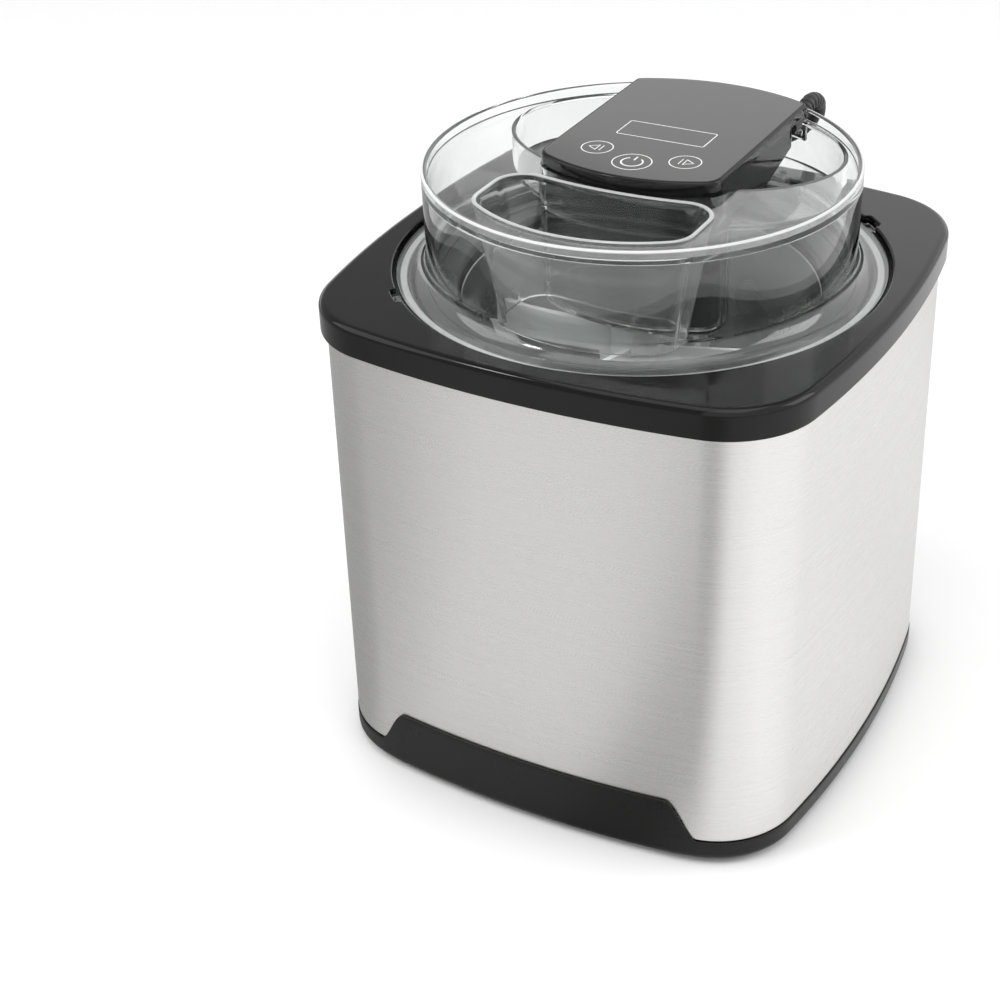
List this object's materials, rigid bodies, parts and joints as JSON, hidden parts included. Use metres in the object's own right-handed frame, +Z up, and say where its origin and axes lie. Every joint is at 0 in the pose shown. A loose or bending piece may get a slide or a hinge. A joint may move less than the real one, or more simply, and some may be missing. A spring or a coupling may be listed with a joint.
{
  "type": "ice cream maker",
  "caption": "Household ice cream maker: brushed steel body, freezing canister with dasher, clear lid with feed chute, lift-off motor head with keys, display and mains cord.",
  "frame": {"origin": "middle of the footprint, on the surface that the machine stands on", "axes": "+Z up; the front, with the bare plate and the control panel's near edge, faces -Y; +X to the machine's own left when it faces the user"},
  "size_m": [0.2396, 0.372, 0.279],
  "materials": {
    "black_plastic": "moulded black, satin gloss",
    "deck_plastic": "polished black",
    "inner_plastic": "matte black",
    "shell_steel": "brushed round the body",
    "screw_steel": "plain",
    "foot_rubber": "matte",
    "canister_plastic": "light grey, smooth",
    "bowl_aluminium": "satin, spun",
    "coolant": "gel, sealed in",
    "dasher_plastic": "natural, slightly milky",
    "gasket_rubber": "soft silicone",
    "clear_plastic": "clear moulded plastic",
    "overlay_film": "glossy film with printed icons",
    "display": "dark liquid crystal display",
    "circuit_board": "green solder mask",
    "key_rubber": "matte",
    "gear_plastic": "natural acetal",
    "motor_steel": "plated",
    "plate_steel": "zinc plated",
    "bush_brass": "sintered, oiled",
    "cord_rubber": "black cord sheath",
    "tie_plastic": "black strap",
    "plug_plastic": "moulded black"
  },
  "bodies": {
    "body": {"base_tray": "black_plastic", "rubber_foot_1": "foot_rubber", "rubber_foot_2": "foot_rubber", "rubber_foot_3": "foot_rubber", "rubber_foot_4": "foot_rubber", "steel_shell": "shell_steel", "inner_tub": "inner_plastic", "top_deck": "deck_plastic", "base_screw_1": "screw_steel", "base_screw_2": "screw_steel", "base_screw_3": "screw_steel", "base_screw_4": "screw_steel", "deck_screw_1": "screw_steel", "deck_screw_2": "screw_steel", "deck_screw_3": "screw_steel", "deck_screw_4": "screw_steel"},
    "canister": {"canister_outer": "canister_plastic", "canister_bowl": "bowl_aluminium", "coolant_gel": "coolant", "canister_rim": "inner_plastic"},
    "mixer": {"dasher": "dasher_plastic"},
    "seal": {"lid_gasket": "gasket_rubber"},
    "lid": {"clear_lid": "clear_plastic", "lid_chute": "clear_plastic", "lid_well": "clear_plastic"},
    "head": {"head_housing": "black_plastic", "head_cover": "deck_plastic", "control_overlay": "overlay_film", "lcd_module": "display", "control_board": "circuit_board", "head_screw_1": "screw_steel", "head_screw_2": "screw_steel", "head_screw_3": "screw_steel", "head_screw_4": "screw_steel", "gear_pin": "screw_steel", "motor_can": "motor_steel", "gear_plate": "plate_steel", "drive_bush": "bush_brass", "strain_relief": "cord_rubber", "power_cord": "cord_rubber", "cord_coil": "cord_rubber", "cord_tie": "tie_plastic", "cord_tail": "cord_rubber", "mains_plug": "plug_plastic"},
    "output_drive": {"output_gear": "gear_plastic"},
    "reduction_drive": {"reduction_gear": "gear_plastic"},
    "rotor": {"motor_rotor": "motor_steel"},
    "left_key": {"key_left": "key_rubber"},
    "power_key": {"key_power": "key_rubber"},
    "right_key": {"key_right": "key_rubber"}
  },
  "joints": [
    {"name": "canister_lift", "type": "slide", "parent": "body", "child": "canister", "axis": [0, 0, 1], "range_m": [0, 0.23]},
    {"name": "dasher_spin", "type": "hinge", "parent": "canister", "child": "mixer", "pos_m": [0, 0, 0.15], "axis": [0, 0, 1], "continuous": true},
    {"name": "lid_lift", "type": "slide", "parent": "canister", "child": "seal", "axis": [0, 0, 1], "range_m": [0, 0.1]},
    {"name": "lid_turn", "type": "hinge", "parent": "seal", "child": "lid", "pos_m": [0, 0, 0.23], "axis": [0, 0, 1], "range_deg": [0, 18]},
    {"name": "head_lift", "type": "slide", "parent": "lid", "child": "head", "axis": [0, 0, 1], "range_m": [0, 0.09]},
    {"name": "output_spin", "type": "hinge", "parent": "head", "child": "output_drive", "pos_m": [0, 0, 0.217], "axis": [0, 0, 1], "continuous": true},
    {"name": "reduction_spin", "type": "hinge", "parent": "head", "child": "reduction_drive", "pos_m": [0.00648, 0.0155, 0.222], "axis": [0, 0, 1], "continuous": true},
    {"name": "rotor_spin", "type": "hinge", "parent": "head", "child": "rotor", "pos_m": [0, 0.031, 0.24], "axis": [0, 0, 1], "continuous": true},
    {"name": "left_key_press", "type": "slide", "parent": "head", "child": "left_key", "axis": [0, 0, -1], "range_m": [0, 0.0004], "stiffness_N_per_m": 400},
    {"name": "power_key_press", "type": "slide", "parent": "head", "child": "power_key", "axis": [0, 0, -1], "range_m": [0, 0.0004], "stiffness_N_per_m": 400},
    {"name": "right_key_press", "type": "slide", "parent": "head", "child": "right_key", "axis": [0, 0, -1], "range_m": [0, 0.0004], "stiffness_N_per_m": 400}
  ],
  "couplings": [
    {"joint": "output_spin", "follows": "dasher_spin", "ratio": 1},
    {"joint": "reduction_spin", "follows": "dasher_spin", "ratio": -3.2},
    {"joint": "rotor_spin", "follows": "dasher_spin", "ratio": 10.24}
  ]
}
